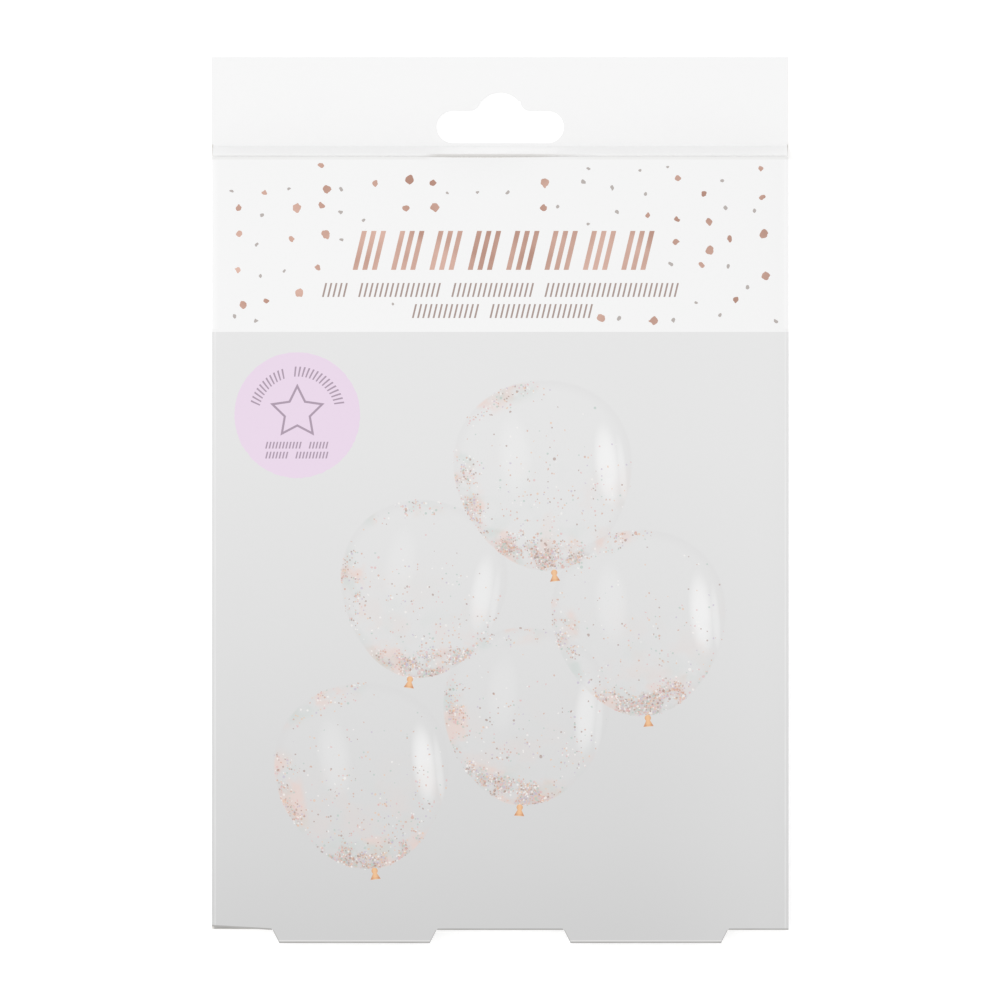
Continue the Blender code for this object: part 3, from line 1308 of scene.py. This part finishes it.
@dataclass
class SlopingLid(Card):
    """The lid, from the soft bend at the header's foot up to its front edge."""

    end_inset: float = 0.2

    def build(self) -> None:
        """Build the lid, with its soft bend from the header's foot."""
        half = self.half_width - self.end_inset
        start, top = self.bend_from - self.lip, 1.1
        piece = Piece("card_lid", (-half, start, top), (half, self.bend_from, top), flat=True)
        piece.pick(Part.EDGE, lambda at, way: at.y < start + 0.005)
        piece.spin(self.slope - 180, (0, start, top - self.board / 2 + self.bend_radius), (1, 0, 0), 7)
        way, third = math.radians(self.slope), self.length() / 3
        for _ in range(3):
            piece.extrude(y=math.cos(way) * third, z=math.sin(way) * third)
        self.lay_board(piece, lambda at: at.z < top + 0.01)
        piece.smooth()
        body = self.hand_over(piece, "lid")
        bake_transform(body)

    def length(self) -> float:
        """The straight of the slope, between its two bends.

        Returns:
            Its length.
        """
        slope = math.radians(self.slope)
        corner = math.tan((math.pi - slope) / 2)
        whole = (self.flap_level - 0.9) / math.sin(slope)
        return whole - (self.bend_radius + self.nose_radius) * corner

    def nose(self) -> tuple[float, float]:
        """Where the board's middle starts to bend into the tuck flap.

        Returns:
            The place along Y and Z.
        """
        slope = math.radians(self.slope)
        corner = self.bend_radius * math.tan((math.pi - slope) / 2)
        start_y = self.bend_from - self.lip - corner + math.cos(slope) * (corner + self.length())
        return start_y, 0.9 + math.sin(slope) * (corner + self.length())


@dataclass
class TuckFlap(Card):
    """The flap behind the front panel's top edge."""

    nose_inset: float = 0.2  # of the bend's ends
    end_inset: float = 1.6  # of the flap's ends, behind the front panel
    free_edge: float = 78.604
    corner: float = 5.0
    steps: tuple[float, float] = (0.3, 0.9)  # past the nose, over which it narrows

    def build(self) -> None:
        """Build the flap, with its bend round the lid's nose."""
        y, z = SlopingLid(self.materials).nose()
        slope = math.radians(self.slope)
        sine, cosine = math.sin(slope), math.cos(slope)
        half = self.half_width - self.nose_inset
        start, level = y + sine * self.board / 2, z - cosine * self.board / 2
        low, high = (-half, start, level), (half, start + self.lip, level)
        piece = Piece("card_tuck_flap", low, high, flat=True)
        piece.pick(Part.CORNER, lambda at, way: at.y > start + 0.01)
        piece.move(y=(cosine - 1) * self.lip, z=-sine * self.lip)
        piece.pick(Part.EDGE, lambda at, way: at.z > level - 0.005 and abs(way.x) > 0.9)
        centre = (0, y - sine * self.nose_radius, z + cosine * self.nose_radius)
        piece.spin(180 - self.slope, centre, (1, 0, 0), 7)
        for step in self.steps:
            piece.extrude(y=-step)
        piece.resize(((self.half_width - self.end_inset) / half, 1, 1), (0, 0, 0))
        piece.extrude(y=self.free_edge - centre[1] + sum(self.steps))
        piece.pick(Part.CORNER, lambda at, way: at.y < self.free_edge + 0.01)
        bpy.ops.mesh.bevel(offset=self.corner * MM, segments=8, affect="VERTICES")
        self.lay_board(piece, lambda at: at.y < self.free_edge + 2)
        piece.smooth()
        body = self.hand_over(piece, "tuck_flap")
        y * MM
        z * MM
        centre[1] * MM
        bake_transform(body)


@dataclass(frozen=True)
class Studio:
    """The pale floor, the soft light and the camera straight above."""

    floor_size: float = 12.0
    floor_tone: Colour = (0.96, 0.96, 0.96)
    floor_glow: float = 0.22
    sky: float = 0.94
    key_power: float = 4.5
    key_place: Point = (-0.55, 0.15, 1.75)
    key_size: float = 1.1
    lens: float = 600.0
    eye: Point = (-0.00006, -0.00013, 4.198)

    def floor(self) -> None:
        """A plain floor just under the carton."""
        activate()
        bpy.ops.mesh.primitive_plane_add(size=self.floor_size, location=(0, 0, -0.00005))
        made = bpy.context.object
        made.name = "floor"
        paint = Paint("pale_floor")
        paint.feed("Base Color", self.floor_tone)
        paint.feed("Roughness", 0.9)
        paint.feed("Specular IOR Level", 0.1)
        paint.feed("Emission Color", (1.0, 1.0, 1.0))
        paint.feed("Emission Strength", self.floor_glow)
        made.data.materials.append(paint.material)

    def light(self) -> None:
        """An even sky and one large soft light from the upper left."""
        world = bpy.data.worlds.new("soft_sky")
        world.use_nodes = True
        sky = world.node_tree.nodes["Background"]
        sky.inputs["Color"].default_value = (1, 1, 1, 1)
        sky.inputs["Strength"].default_value = self.sky
        bpy.context.scene.world = world
        data = bpy.data.lights.new("key", "AREA")
        data.energy = self.key_power
        data.size = self.key_size
        key = bpy.data.objects.new("key", data)
        key.location = self.key_place
        key.rotation_euler = (-Vector(self.key_place)).to_track_quat("-Z", "Y").to_euler()
        key.visible_camera = False
        bpy.context.collection.objects.link(key)

    def camera(self) -> None:
        """A long lens straight above, with the header at the top of the picture."""
        data = bpy.data.cameras.new("camera")
        data.lens = self.lens
        data.sensor_width = 36
        data.clip_end = 50
        made = bpy.data.objects.new("camera", data)
        made.location = self.eye
        bpy.context.collection.objects.link(made)
        bpy.context.scene.camera = made

    def build(self) -> None:
        """Set the studio up, with colours shown as they are."""
        self.floor()
        self.light()
        self.camera()
        bpy.context.scene.view_settings.view_transform = "Standard"


def main() -> None:
    """Build the carton's card, then the studio."""
    logging.basicConfig(level=logging.INFO, format="%(name)s: %(message)s")
    materials = Finishes().made()
    for part in (CartonBody(materials), SlopingLid(materials), TuckFlap(materials)):
        part.build()
    Studio().build()


if __name__ == "__main__":
    main()
